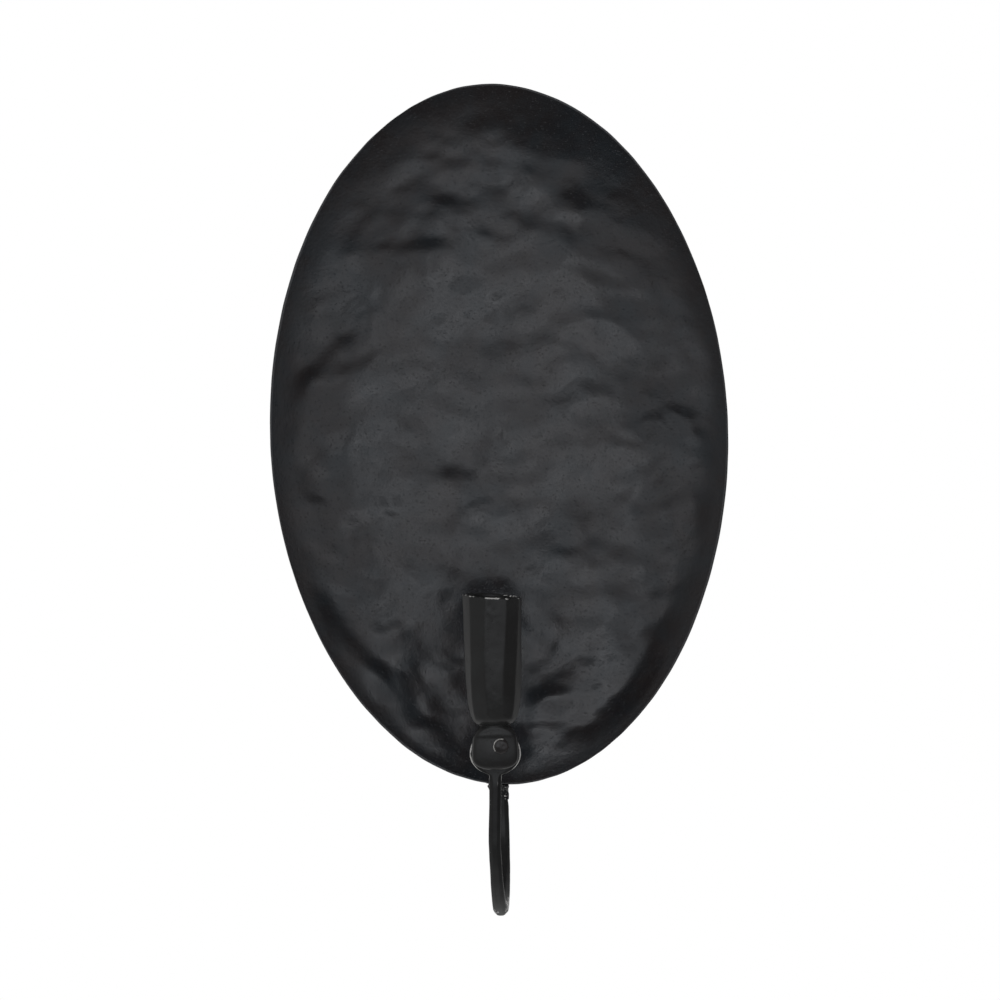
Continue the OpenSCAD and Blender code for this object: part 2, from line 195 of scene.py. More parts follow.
class Maths:
    """A shader socket that plain arithmetic works on."""

    def __init__(self, tree, socket=None):
        self.tree = tree
        self.socket = socket

    def node(self, kind, settings, inputs, output=0):
        made = self.tree.nodes.new(kind)
        for key, value in settings.items():
            setattr(made, key, value)
        for key, value in inputs.items():
            if isinstance(value, Maths):
                self.tree.links.new(value.socket, made.inputs[key])
            else:
                made.inputs[key].default_value = value
        return Maths(self.tree, made.outputs[output])

    def math(self, operation, a, b):
        return self.node("ShaderNodeMath", {"operation": operation}, {0: a, 1: b})

    def __add__(self, other):
        return self.math("ADD", self, other)

    def __radd__(self, other):
        return self.math("ADD", other, self)

    def __sub__(self, other):
        return self.math("SUBTRACT", self, other)

    def __rsub__(self, other):
        return self.math("SUBTRACT", other, self)

    def __mul__(self, other):
        return self.math("MULTIPLY", self, other)

    def __rmul__(self, other):
        return self.math("MULTIPLY", other, self)

    def between(self, low, high):
        """0 below low, 1 above high, smooth in between."""
        return self.node(
            "ShaderNodeMapRange",
            {"interpolation_type": "SMOOTHSTEP"},
            {"Value": self, "From Min": low, "From Max": high},
        )

    def noise(self, scale, detail=2.0, roughness=0.5):
        return self.node(
            "ShaderNodeTexNoise",
            {},
            {"Vector": self, "Scale": scale, "Detail": detail, "Roughness": roughness},
        )

    def blend(self, low, high):
        """A colour from low to high as this value goes from 0 to 1."""
        return self.node("ShaderNodeMix", {"data_type": "RGBA"}, {0: self, 6: low, 7: high}, output=2)

    def bump(self, strength, distance, under=None):
        inputs = {"Height": self, "Strength": strength, "Distance": distance}
        if under:
            inputs["Normal"] = under
        return self.node("ShaderNodeBump", {}, inputs)


def lacquered_iron(name, dark, light, rough, gloss_index, grain_depth, pit_depth, wear=0.6):
    """Thin black lacquer on forged iron: cloudy colour, uneven gloss, fire scale, and bare iron where the
    point attribute asks, which is partly edge wear and partly painted highlight.
    """
    # Pale and only partly metallic, so that bare spots also serve as painted highlights on edges, lips and
    # specks
    bare_and_highlight_colour = (0.70, 0.69, 0.67, 1)
    material = bpy.data.materials.new(name)
    material.use_nodes = True
    tree = material.node_tree
    shader = tree.nodes["Principled BSDF"]
    shader.inputs["IOR"].default_value = gloss_index
    start = Maths(tree)
    place = start.node("ShaderNodeTexCoord", {}, {}, output="Object")
    edge = start.node("ShaderNodeAttribute", {"attribute_name": "wear_and_highlight"}, {}, output="Fac")
    cloud = place.noise(26, 3.0, 0.55).between(0.35, 0.68)
    streak = place.noise(95, 3.0, 0.6).between(0.38, 0.66)
    scale = place.noise(420, 4.0, 0.62)
    grain = place.noise(1500, 2.0, 0.5)
    pits = place.noise(900, 1.0, 0.4).between(0.66, 0.74)
    bare_and_highlight = (edge * (0.35 + scale * 1.3)).between(1.0 - wear, 1.35 - wear)
    colour = (cloud * 0.6 + streak * 0.4).blend(dark, light)
    colour = bare_and_highlight.blend(colour, bare_and_highlight_colour)
    gloss = rough - 0.05 * cloud + 0.04 * streak + 0.04 * scale + 0.10 * bare_and_highlight
    relief = scale.bump(strength=0.5, distance=grain_depth)
    relief = grain.bump(strength=0.35, distance=grain_depth * 0.35, under=relief)
    relief = (1 - pits).bump(strength=0.5, distance=pit_depth, under=relief)
    tree.links.new(colour.socket, shader.inputs["Base Color"])
    tree.links.new((bare_and_highlight * 0.6).socket, shader.inputs["Metallic"])
    tree.links.new(gloss.socket, shader.inputs["Roughness"])
    tree.links.new(relief.socket, shader.inputs["Normal"])
    return material


def oval_part(value):
    """A sine or cosine, fitted to the plate's oval."""
    return np.sign(value) * np.abs(value) ** (2 / oval_power)


def rim_noise(angles, pace, layer):
    """Noise round the rim: the higher the pace, the closer its swings."""
    return np.array([noise.noise(Vector((pace * math.cos(a), pace * math.sin(a), layer))) for a in angles])


# Deep blows that caught the light in the photo: across and up from the middle, width and depth, in mm
deep_blows = [
    (-27, 90, 9, 0.75), (15, 40, 12, 0.7), (-70, 47, 10, 0.3), (70, 47, 9, 0.7), (93, 0, 9, 0.4),
    (62, -125, 13, 1.8), (32, -140, 10, 0.5), (-29, -130, 11, 0.5), (-75, 2, 8, 0.5), (45, 82, 9, 0.6),
    (-86, -80, 13, 0.8),
]
# Hollows and swells of the dishing, then the marks of the planishing hammer in two sizes: how many,
# the narrowest and widest, the shallowest and deepest
hammer_passes = [
    (130, 0.0070, 0.0140, 0.00018, 0.00040),
    (1150, 0.0025, 0.0048, 0.00011, 0.00023),
    (1200, 0.0015, 0.0024, 0.00004, 0.00010),
]


def hammered_relief(u, v, share):
    """Height of the hammered surface towards the viewer, blow by blow."""
    draws = np.random.default_rng(15)
    to_edge = (1 - share) * np.hypot(u, v) / np.maximum(share, 0.05)
    fade = border_fade + border_fade_at_top * smooth(2 * v / plate_half_h - 0.2)
    border = smooth((to_edge - spared_border) / fade)
    height = np.zeros_like(u)

    def strike(spot_u, spot_v, width, rise, turn=0.0, long=1.0):
        du, dv = u - spot_u, v - spot_v
        near = np.flatnonzero(du * du + dv * dv < (3.2 * width * long) ** 2)
        du, dv = du[near], dv[near]
        along = du * math.cos(turn) + dv * math.sin(turn)
        beside = dv * math.cos(turn) - du * math.sin(turn)
        height[near] += rise * np.exp(-((along / long) ** 2 + beside**2) / (2 * width**2))

    for spot_u, spot_v, width, depth in deep_blows:
        strike(spot_u / 1000, spot_v / 1000, width / 1000, -depth / 1000)
    for count, narrow, wide, low, high in hammer_passes:
        for k in range(count):
            angle = draws.uniform(0, 2 * math.pi)
            out = math.sqrt(draws.uniform(0, 1))
            spot_u = plate_half_w * out * math.cos(angle)
            spot_v = plate_half_h * out * math.sin(angle)
            rise = draws.uniform(low, high) * (-1 if k % 2 else 1)
            # The plate was turned as it was hammered, so the marks lie more across it than along it
            lean = mark_lean * spot_u / plate_half_w * math.tanh(3 * spot_v / plate_half_h)
            lie = draws.normal(0, mark_scatter) - lean
            strike(spot_u, spot_v, draws.uniform(narrow, wide), rise, lie, mark_length)
    return height * border


bpy.ops.object.select_all(action="DESELECT")
bpy.ops.mesh.primitive_circle_add(vertices=plate_rim_points, radius=1, fill_type="NOTHING")
plate = bpy.context.object
plate.name = "hammered_plate"
bpy.ops.object.mode_set(mode="EDIT")
bpy.ops.mesh.select_all(action="SELECT")
bpy.ops.mesh.fill_grid(span=plate_rim_points // 4)
bpy.ops.mesh.select_all(action="SELECT")
bpy.ops.mesh.subdivide(number_cuts=1)
bpy.ops.object.mode_set(mode="OBJECT")
disc = mesh_points(plate)
share = np.minimum(np.hypot(disc[:, 0], disc[:, 1]), 1)
angle = np.arctan2(disc[:, 1], disc[:, 0])
cut = rim_noise(angle, 3, 0.7)
nick = rim_noise(angle, 14, 2.1)
trim = 1 - (slow_trim * smooth(0.5 + cut) + quick_trim * smooth(0.5 + nick)) * share**6
plate_v = plate_half_h * share * oval_part(np.sin(angle)) * trim
plate_u = plate_half_w * (1 + oval_egg * plate_v / plate_half_h) * share * oval_part(np.cos(angle)) * trim
plate_x, plate_up = turned(plate_u, plate_v, plate_tilt)
plate_y = -mix(belly_gap, dish_depth, share**dish_power) - hammered_relief(plate_u, plate_v, share)
# No hollow goes through the wall plane
plate_y = np.minimum(plate_y, 0)
set_points(plate, np.stack([plate_x, plate_y, plate_up + plate_mid_z], axis=1))
if sum(face.normal.y for face in plate.data.polygons) > 0:
    plate.data.flip_normals()
add_modifier(plate, "SOLIDIFY", thickness=plate_sheet, offset=1.0, use_even_offset=True)
turn_faces_out(plate)
bpy.ops.object.mode_set(mode="EDIT")
bpy.ops.mesh.select_all(action="DESELECT")
bpy.ops.mesh.select_mode(type="EDGE")
bpy.ops.mesh.edges_select_sharp(sharpness=math.radians(60))
bpy.ops.mesh.bevel(offset=cut_edge_bevel, segments=2)
bpy.ops.object.mode_set(mode="OBJECT")
mark_worn_edges(plate, sharpness=0.9)
plate_finish = lacquered_iron(
    "hammered plate lacquer", dark=(0.0108, 0.0084, 0.0086, 1), light=(0.0080, 0.0104, 0.0130, 1),
    rough=0.18, gloss_index=1.62, grain_depth=0.00010, pit_depth=0.00008, wear=0.5,
)
finish_piece(plate, "back_plate", plate_finish)


# The hanger strap
# A strip of 20 x 1.5 mm steel bent by hand into a bridge, with a punched keyhole for the wall screw.
# Its feet are bent to the back of the dish and are held by two spot welds each.
strap_low, strap_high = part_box("hanger_strap")
strap_half_w = (strap_high.x - strap_low.x) / 2
strap_sheet = 0.0015
strap_gap = 0.00005
strap_step = 0.0009
strap_edge_bevel = 0.00022
bridge_low = -0.0095
bridge_high = 0.01825
# How far beyond the bridge the dish is measured, for slopes of 45 degrees down to the feet
lower_slope = 0.004
upper_slope = 0.009
foot_length = 0.008
bend_radius = 0.0016
keyhole_r = 0.0045
slot_half_w = 0.00225
slot_rise = 0.011
punch_length = 0.02
spot_weld_x = 0.0055
spot_weld_row = 5
spot_weld_r = 0.0012
spot_weld_fade = 0.0009
spot_weld_depth = 0.00022


def strap_foot(z):
    """Where the strap's inner face meets the dish."""
    sides = [dish_back(x, z - plate_mid_z) for x in (-strap_half_w, 0.0, strap_half_w)]
    return max(sides) + strap_gap


def strap_path(step):
    """Inner face of the strap from its lower foot to its upper one, with rounded bends, in even steps."""
    low = bridge_low - (-strap_sheet - strap_foot(bridge_low - lower_slope))
    high = bridge_high + (-strap_sheet - strap_foot(bridge_high + upper_slope))
    corners = [(strap_foot(low - f * foot_length), low - f * foot_length) for f in (1, 0.5, 0)]
    corners += [(-strap_sheet, bridge_low), (-strap_sheet, bridge_high)]
    corners += [(strap_foot(high + f * foot_length), high + f * foot_length) for f in (0, 0.5, 1)]
    corners = [Vector((y, z)) for y, z in corners]
    path = [corners[0]]
    for before, corner, after in zip(corners, corners[1:], corners[2:]):
        reach = min(bend_radius, (before - corner).length * 0.45, (after - corner).length * 0.45)
        start = corner + (before - corner).normalized() * reach
        end = corner + (after - corner).normalized() * reach
        for t in (0, 0.25, 0.5, 0.75, 1):
            path.append(start * (1 - t) ** 2 + corner * 2 * t * (1 - t) + end * t * t)
    path.append(corners[-1])
    even = [path[0]]
    for a, b in zip(path, path[1:]):
        cuts = max(1, round((b - a).length / step))
        even += [a.lerp(b, (k + 1) / cuts) for k in range(cuts)]
    return even


strap_line = strap_path(strap_step)
bpy.ops.object.select_all(action="DESELECT")
bpy.ops.mesh.primitive_grid_add(x_subdivisions=24, y_subdivisions=1, size=2 * strap_half_w)
strap = bpy.context.object
strap.name = "bent_hanger_strap"
strip = mesh_points(strap)
strip[:, 2] = np.where(strip[:, 1] > 0, strap_line[1].y, strap_line[0].y)
strip[:, 1] = np.where(strip[:, 1] > 0, strap_line[1].x, strap_line[0].x)
set_points(strap, strip)
bpy.ops.object.mode_set(mode="EDIT")
bpy.ops.mesh.select_mode(type="EDGE")
bpy.ops.mesh.select_all(action="DESELECT")
bpy.ops.object.mode_set(mode="OBJECT")
for edge in strap.data.edges:
    edge.select = all(abs(strap.data.vertices[k].co.z - strap_line[1].y) < 1e-6 for k in edge.vertices)
bpy.ops.object.mode_set(mode="EDIT")
for here, ahead in zip(strap_line[1:], strap_line[2:]):
    step = (0, ahead.x - here.x, ahead.y - here.y)
    bpy.ops.mesh.extrude_edges_move(TRANSFORM_OT_translate={"value": step})
bpy.ops.object.mode_set(mode="OBJECT")
turn_faces_out(strap)
if sum(face.normal.y for face in strap.data.polygons) < 0:
    strap.data.flip_normals()
add_modifier(strap, "SOLIDIFY", thickness=strap_sheet, offset=1.0, use_even_offset=True)
turn_faces_out(strap)
# Four spot welds left shallow round dents in the outer face
strap_points = mesh_points(strap)
faces_wall = mesh_normals(strap)[:, 1] > 0.3
for side in (-1, 1):
    for row in (spot_weld_row, len(strap_line) - 1 - spot_weld_row):
        away = np.hypot(strap_points[:, 0] - side * spot_weld_x, strap_points[:, 2] - strap_line[row].y)
        dent = spot_weld_depth * (1 - smooth((away - spot_weld_r) / spot_weld_fade))
        strap_points[:, 1] -= dent * faces_wall
set_points(strap, strap_points)
# The keyhole's punches: a round one, one for the slot, and one for the slot's round end
through_wall = (math.pi / 2, 0, 0)
bpy.ops.mesh.primitive_cylinder_add(
    vertices=48, radius=keyhole_r, depth=punch_length, location=(0, 0, 0), rotation=through_wall
)
round_punch = bpy.context.object
bpy.ops.mesh.primitive_cube_add(size=1, location=(0, 0, slot_rise / 2))
slot_punch = bpy.context.object
slot_punch.scale = (2 * slot_half_w, punch_length, slot_rise)
bpy.ops.mesh.primitive_cylinder_add(
    vertices=32, radius=slot_half_w, depth=punch_length, location=(0, 0, slot_rise), rotation=through_wall
)
end_punch = bpy.context.object
for punch in (round_punch, slot_punch, end_punch):
    add_modifier(strap, "BOOLEAN", operation="DIFFERENCE", solver="EXACT", object=punch)
    bpy.data.objects.remove(punch)
turn_faces_out(strap)
add_modifier(
    strap, "BEVEL", width=strap_edge_bevel, segments=2, limit_method="ANGLE", angle_limit=math.radians(50)
)
mark_worn_edges(strap, sharpness=0.9)
strap_finish = lacquered_iron(
    "strap lacquer", dark=(0.011, 0.011, 0.012, 1), light=(0.018, 0.018, 0.018, 1),
    rough=0.42, gloss_index=1.5, grain_depth=0.00005, pit_depth=0.00004, wear=0.1,
)
finish_piece(strap, "hanger_strap", strap_finish)


# The arm
# One bar, hammered on eight sides. Its rear end is flattened into a tongue behind the plate, the
# middle is bent into a U and swings slightly out of true, and the front end is drawn down and then
# spread into a flat leaf with a ground edge, which carries the cup.
bar_half = 0.0035
leg_half = 0.00285
arm_reach = 0.088
arm_middle = -0.0003
tongue_x = arm_middle - 0.0006
tongue_length = 0.018
tongue_half_w = 0.0043
tongue_half_t = 0.0015
tongue_blend = 0.012
# The tip of the tongue is drawn narrower and thinner, to these shares
tongue_tip_w = 0.72
tongue_tip_t = 0.6
edge_drop = -0.168027
loop_twist = 0.0017
loop_bulge = 0.0015
leaf_half_w = 0.0115
leaf_half_t = 0.0016
leaf_draw = 0.015
leaf_thinning = leaf_draw * 0.6
leaf_squash = 0.82
# Powers and a factor that fill out the corners of the leaf's section
leaf_side_power = 0.8
leaf_face_power = 0.45
leaf_face_fill = 1.15
leaf_x = arm_middle - 0.0014
leaf_z = edge_drop + 0.025
seat_gap = 0.00005
rear_y = -dish_depth + seat_gap + bar_half
loop_r = (arm_reach + rear_y) / 2
loop_y = rear_y - loop_r
loop_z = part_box("arm")[0].z - plate_mid_z + bar_half + loop_r
points_round_bar = 32
bar_flats = 8
flat_depth = 0.75
# The leaf was dressed smoother than the bar and shows this share of its dents
leaf_dents = 0.4
bright_speck_height = 0.0082
bright_speck_fade = 0.004
bevel_share = 0.92
# Places along the straight bar: where the tongue leaves the plate, the bends begin and end, the leaf
plate_edge_s = tongue_length
bend_s = plate_edge_s + edge_drop - loop_z
rise_s = bend_s + math.pi * loop_r
spread_s = rise_s + leaf_z - leaf_draw - loop_z
leaf_s = spread_s + leaf_draw
dressed_s = spread_s + 0.004


def draw_out(name, points_round, rings):
    """A round blank drawn out ring by ring. A ring is its place along, half width and half thickness."""
    bpy.ops.object.select_all(action="DESELECT")
    start, half_w, half_t = rings[0]
    bpy.ops.mesh.primitive_circle_add(
        vertices=points_round, radius=1, fill_type="NGON", location=(0, 0, start)
    )
    bar = bpy.context.object
    bar.name = name
    bar.scale = (half_w, half_t, 1)
    bpy.ops.object.transform_apply(location=True, rotation=True, scale=True)
    bpy.ops.object.mode_set(mode="EDIT")
    bpy.ops.mesh.select_all(action="SELECT")
    for (last, last_w, last_t), (place, half_w, half_t) in zip(rings, rings[1:]):
        bpy.ops.mesh.extrude_region_move(TRANSFORM_OT_translate={"value": (0, 0, place - last)})
        bpy.ops.transform.resize(
            value=(half_w / last_w, half_t / last_t, 1), center_override=(0, 0, place)
        )
    bpy.ops.object.mode_set(mode="OBJECT")
    turn_faces_out(bar)
    return bar


def flat_share(phi, depth):
    """Share of the radius at an angle round the bar: hammered flats between soft corners."""
    half = math.pi / bar_flats
    turn = np.mod(phi, 2 * half) - half
    return mix(1.0, math.cos(half) / np.cos(half - np.abs(turn)), depth)


def loop_x(turn):
    """How far the U stands aside at a turn of its bend, because it is bent out of true."""
    return arm_middle + loop_twist * np.cos(turn) + loop_bulge * np.sin(turn)


def tongue_section(s):
    """Half width and half thickness of the bar near the tongue, which grows into the full bar."""
    low = smooth((s - plate_edge_s) / tongue_blend)
    return mix(tongue_half_w, bar_half, low), mix(tongue_half_t, bar_half, low)


def bend_bar(points):
    """Bend a straight bar, drawn along z from the tongue's end, into the tongue, U and front leg."""
    across, through, s = points.T
    z = edge_drop + plate_edge_s - s
    on_plate = z > edge_drop
    low = smooth((edge_drop - z) / tongue_blend)
    dish = np.maximum(-dish_depth, dish_back(across + arm_middle, z))
    half_t = np.where(on_plate, tongue_half_t, mix(tongue_half_t, bar_half, low))
    rear = (mix(tongue_x, loop_x(0), low), np.where(on_plate, dish, -dish_depth) + seat_gap + half_t, z)
    turn = np.clip((s - bend_s) / loop_r, 0, math.pi)
    bent = (loop_x(turn), loop_y + loop_r * np.cos(turn), loop_z - loop_r * np.sin(turn))
    to_leaf = smooth((s - rise_s) / (spread_s - rise_s))
    front = (mix(loop_x(math.pi), leaf_x, to_leaf), -arm_reach, loop_z + s - rise_s)
    stretch = [s < bend_s, s > rise_s]
    middle = [np.select(stretch, [rear[k], front[k]], bent[k]) for k in range(3)]
    return np.stack([
        middle[0] + across,
        middle[1] + through * np.cos(turn),
        middle[2] - through * np.sin(turn) + plate_mid_z,
    ], axis=1)


def dented(point, pace, depth, finer, fine_depth):
    """How far the hammer moved a point: broad dents with finer ones laid over them."""
    spot = Vector(point) * pace
    return np.array(noise.noise_vector(spot) * depth + noise.noise_vector(spot * finer) * fine_depth)


def speckle(points, pace):
    """Noise at each point: the higher the pace, the finer its specks."""
    return np.array([noise.noise(Vector(point) * pace) for point in points])


arm_rings = []
for s in np.linspace(0, plate_edge_s, 20):
    full = smooth(3 * s / tongue_length)
    half_w = tongue_half_w * mix(tongue_tip_w, 1, full)
    arm_rings.append((s, half_w, tongue_half_t * mix(tongue_tip_t, 1, full)))
for s in np.linspace(plate_edge_s, plate_edge_s + tongue_blend, 16)[1:]:
    arm_rings.append((s, *tongue_section(s)))
bottom_s = (bend_s + rise_s) / 2
for s in np.linspace(arm_rings[-1][0], rise_s, 64)[1:]:
    half = mix(bar_half, leg_half, smooth((s - bottom_s) / (rise_s - bottom_s)))
    arm_rings.append((s, half, half))
for s in np.linspace(rise_s, spread_s, 12)[1:]:
    arm_rings.append((s, leg_half, leg_half))
for s in mix(spread_s, leaf_s, np.linspace(0, 1, 30)[1:]):
    leaf_w = leaf_half_w * math.sqrt(max(0, 1 - ((leaf_s - s) / (leaf_squash * leaf_half_w)) ** 2))
    thin = smooth((s - spread_s) / leaf_thinning)
    arm_rings.append((s, (leg_half**4 + leaf_w**4) ** 0.25, mix(leg_half, leaf_half_t, thin)))
for turn in np.radians(np.linspace(0, 78, 17))[1:]:
    arm_rings.append((leaf_s + leaf_half_w * math.sin(turn), leaf_half_w * math.cos(turn), leaf_half_t))
arm = draw_out("forged_arm", points_round_bar, arm_rings)
bar_points = mesh_points(arm)
bar_s = bar_points[:, 2].copy()
ring_s, ring_w, ring_t = np.array(arm_rings).T
half_w = np.interp(bar_s, ring_s, ring_w)
half_t = np.interp(bar_s, ring_s, ring_t)
around_bar = np.arctan2(bar_points[:, 1] / half_t, bar_points[:, 0] / half_w)
leaf = smooth((bar_s - spread_s) / leaf_thinning)
plain = smooth((bar_s - plate_edge_s) / tongue_blend) * (1 - leaf)
hammered = flat_share(around_bar, flat_depth * plain)
# The leaf is hammered flat front and back
across = np.cos(around_bar)
through = np.sin(around_bar)
across = np.sign(across) * np.abs(across) ** mix(1, leaf_side_power, leaf)
fullness = np.abs(through) ** mix(1, leaf_face_power, leaf) * mix(1, leaf_face_fill, leaf)
bar_points[:, 0] = half_w * across * hammered
bar_points[:, 1] = half_t * np.sign(through) * np.minimum(fullness, 1) * hammered
for point in bar_points:
    share = leaf_dents if point[2] > dressed_s else 1.0
    point += dented(point, pace=150, depth=0.00011, finer=3.1, fine_depth=0.00004) * share
set_points(arm, bend_bar(bar_points))
turn_faces_out(arm)
add_modifier(arm, "SUBSURF", levels=1, render_levels=1)
mark_worn_edges(arm, sharpness=0.5)
# The bottom of the U has pale bare specks on both sides: rubbed metal, and a painted highlight where it
# faces the light from below
arm_points = mesh_points(arm)
up = arm_points[:, 2] - arm_points[:, 2].min()
speck = speckle(arm_points, 1200) + 0.6 * speckle(arm_points, 420)
beside = np.abs(arm_points[:, 0] - loop_x(math.pi / 2)) / bar_half
at_foot = between(up, bright_speck_height, bright_speck_height - bright_speck_fade)
painted_highlight_and_wear = between(speck, -0.1, 0.15) * at_foot * between(beside, 0.25, 0.5)
# The leaf's ground bevel is painted pale in front, from its widest place down to the bar: bare ground metal
# with a painted highlight along the edge
s = arm_points[:, 2] - plate_mid_z - loop_z + rise_s
beside = np.abs(arm_points[:, 0] - leaf_x) / np.interp(s, ring_s, ring_w)
in_front = arm_points[:, 1] < leaf_half_t / 2 - arm_reach
bevel = between(beside, bevel_share, bevel_share + 0.04) * in_front
bevel *= between(s, spread_s + 0.001, spread_s + 0.004) * between(s, leaf_s + 0.007, leaf_s + 0.004)
painted_highlight_and_wear = np.maximum(painted_highlight_and_wear, bevel * smooth(speck + 0.9))
write_wear_and_highlight(arm, np.maximum(read_wear_and_highlight(arm), painted_highlight_and_wear))
arm_finish = lacquered_iron(
    "forged bar lacquer", dark=(0.0095, 0.0095, 0.0098, 1), light=(0.0160, 0.0168, 0.0165, 1),
    rough=0.34, gloss_index=1.5, grain_depth=0.00007, pit_depth=0.00006,
)
finish_piece(arm, "arm", arm_finish)


# The weld
# A lumpy bead of weld metal that runs round the bar under the plate's bottom edge and up both sides
# of the tongue on the back. It was left as it cooled and lacquered over, with highlights painted on its
# lumps in front.
collar_start = plate_edge_s + 0.0003
collar_length = 0.007
# Weld metal over the bar: the swelling under the plate, its skin, and how far it sinks in at the end
collar_swell = 0.0008
collar_skin = 0.00015
collar_sink = 0.0005
collar_shift = 0.0006
side_run_r = 0.00115
side_run_end_r = 0.0005
side_run_start = 0.0006
side_run_top = 0.0135
side_run_gap = 0.0004
side_run_lift = 0.0007
front_run_r = 0.0013
front_run_end_r = 0.0006
front_run_x = arm_middle - 0.0002
front_run_y = 0.0022 - dish_depth
front_run_half_w = 0.0054
front_run_reach = 0.0031
front_run_drop = 0.0008
front_run_sag = 0.0006
weld_voxel = 0.00030


def weld_run(name, path, radii):
    """A bead laid along a path, swelling and shrinking from drop to drop."""
    curve = bpy.data.curves.new(name, "CURVE")
    curve.dimensions = "3D"
    curve.bevel_depth = 1
    curve.bevel_resolution = 3
    curve.use_fill_caps = True
    run = curve.splines.new("POLY")
    run.points.add(len(path) - 1)
    for point, place, radius in zip(run.points, path, radii):
        point.co = (*place, 1)
        point.radius = radius
    bead = bpy.data.objects.new(name, curve)
    bpy.context.scene.collection.objects.link(bead)
    select_only(bead)
    bpy.ops.object.convert(target="MESH")
    return bpy.context.object


def drop_radii(count, full, ripple, pace, end):
    """Radii of a run laid drop by drop, drawn thin at both ends."""
    radii = [full * (1 - ripple + ripple * abs(math.sin(k * pace))) for k in range(count)]
    radii[0] = end
    radii[-1] = end
    return radii


collar_rings = []
for drop in np.linspace(0, 1, 18):
    s = collar_start + collar_length * drop
    grow = collar_swell * (1 - drop) ** 1.3 + collar_skin - collar_sink * drop
    half_w, half_t = tongue_section(s)
    collar_rings.append((s, half_w + grow, half_t + grow))
collar = draw_out("weld_collar", points_round_bar, collar_rings)
collar_points = mesh_points(collar)
turn = np.arctan2(collar_points[:, 1], collar_points[:, 0])
lumps = 1 + 0.05 * np.sin(3 * turn + 600 * collar_points[:, 2])
collar_points[:, :2] *= lumps[:, None]
collar_points[:, 0] += collar_shift
set_points(collar, bend_bar(collar_points))
weld_parts = [collar]
for side in (-1, 1):
    side_run = []
    for z in np.linspace(edge_drop + side_run_start, edge_drop + side_run_top, 22):
        x = tongue_x + side * (tongue_half_w + side_run_gap)
        side_run.append((x, dish_back(x, z) + side_run_lift, z + plate_mid_z))
    side_drops = drop_radii(len(side_run), side_run_r, ripple=0.14, pace=1.25, end=side_run_end_r)
    weld_parts.append(weld_run("weld_side_run", side_run, side_drops))
front_run = []
for turn in np.linspace(-0.9, 1.1, 20):
    x = front_run_x + front_run_half_w * math.sin(turn)
    y = front_run_y - front_run_reach * math.cos(turn)
    z = plate_mid_z + edge_drop - front_run_drop - front_run_sag * math.cos(turn * 2)
    front_run.append((x, y, z))
front_drops = drop_radii(len(front_run), front_run_r, ripple=0.18, pace=1.45, end=front_run_end_r)
weld_parts.append(weld_run("weld_front_run", front_run, front_drops))
bpy.ops.object.select_all(action="DESELECT")
for part in weld_parts:
    part.select_set(True)
bpy.context.view_layer.objects.active = collar
bpy.ops.object.join()
weld = bpy.context.object
weld.name = "weld_bead"
add_modifier(weld, "REMESH", mode="VOXEL", voxel_size=weld_voxel)
add_modifier(weld, "SMOOTH", factor=0.5, iterations=2)
weld_points = mesh_points(weld)
for point in weld_points:
    point += dented(point, pace=420, depth=0.00020, finer=2.6, fine_depth=0.00012)
set_points(weld, weld_points)
mark_worn_edges(weld, sharpness=0.6, rounds=0)
# In front, right of the bar, thin lines on the lumps are painted pale as highlights
weld_points = mesh_points(weld)
painted_highlight_and_wear = between(np.abs(speckle(weld_points, 1300)), 0.06, 0.01)
painted_highlight_and_wear *= between(weld_points[:, 0], arm_middle + 0.0002, arm_middle + 0.0008)
painted_highlight_and_wear *= between(weld_points[:, 1], 0.003 - dish_depth, 0.002 - dish_depth)
write_wear_and_highlight(weld, np.maximum(0.4 * read_wear_and_highlight(weld), 0.85 * painted_highlight_and_wear))
weld_finish = lacquered_iron(
    "weld lacquer", dark=(0.008, 0.008, 0.009, 1), light=(0.016, 0.016, 0.017, 1),
    rough=0.28, gloss_index=1.6, grain_depth=0.00010, pit_depth=0.00010,
)
finish_piece(weld, "arm_weld", weld_finish, smooth_angle=60)


# The candle cup
# One forging: a socket drawn over a mandrel and hammered to ten uneven sides, necked down, with a
# ball under the neck that is hammered flat. The rim is left as it was cut. Its lip is painted pale
# in front and on the left: a painted highlight over metal that candles going in and out have rubbed.
socket_r = 0.0113
socket_depth = 0.020
socket_point = 0.0405
cup_wall = 0.0022
wall_margin = 0.0001
cup_r = socket_r + cup_wall
cup_length = 0.0570
cup_taper = 0.22
neck_r = 0.00665
neck_hollow_r = neck_r / 2.6
ball_half_w = 0.0105
ball_half_t = 0.0075
ball_height = 0.0200
ball_rise = 0.0133
ball_slope = 0.0053
arris_share = 0.93
neck_depth = 0.0058
ball_fullness = 2.9
ball_dome_r = 0.034
ball_lift = 0.0012
ball_x = leaf_x
ball_y = -arm_reach - leaf_half_t - seat_gap - ball_half_t
ball_z = leaf_z + ball_lift
cup_lean = math.radians(1.3)
rim_slant = math.tan(math.radians(5))
points_round_cup = 96
# Corners between the sides, in degrees from the right by way of the front: at the rim and lower down
cup_corners = np.radians([10, 24, 61, 100, 133, 168, 205, 247, 290, 331])
cup_corners_low = np.radians([6, 42, 68, 108, 144, 173, 205, 247, 290, 331])
corner_wander = 0.035
facet_depth = 0.85
lip_height = 0.0006
lip_rough_height = 0.0012
# Fire scale broke out of the front in two places: across, down from the rim, and how wide
scale_pits = [(0.0, 0.0068, 0.0021), (0.0006, 0.0455, 0.0027)]
scale_pit_depth = 0.00042
# Where the lip is painted pale, a painted highlight over rubbed metal: the angle from the right
# by way of the front, its spread, and how much
lip_front = (1.55, 0.30, 1.0)
lip_left = (2.6, 0.35, 0.45)
lip_back = (-0.7, 0.5, 0.7)


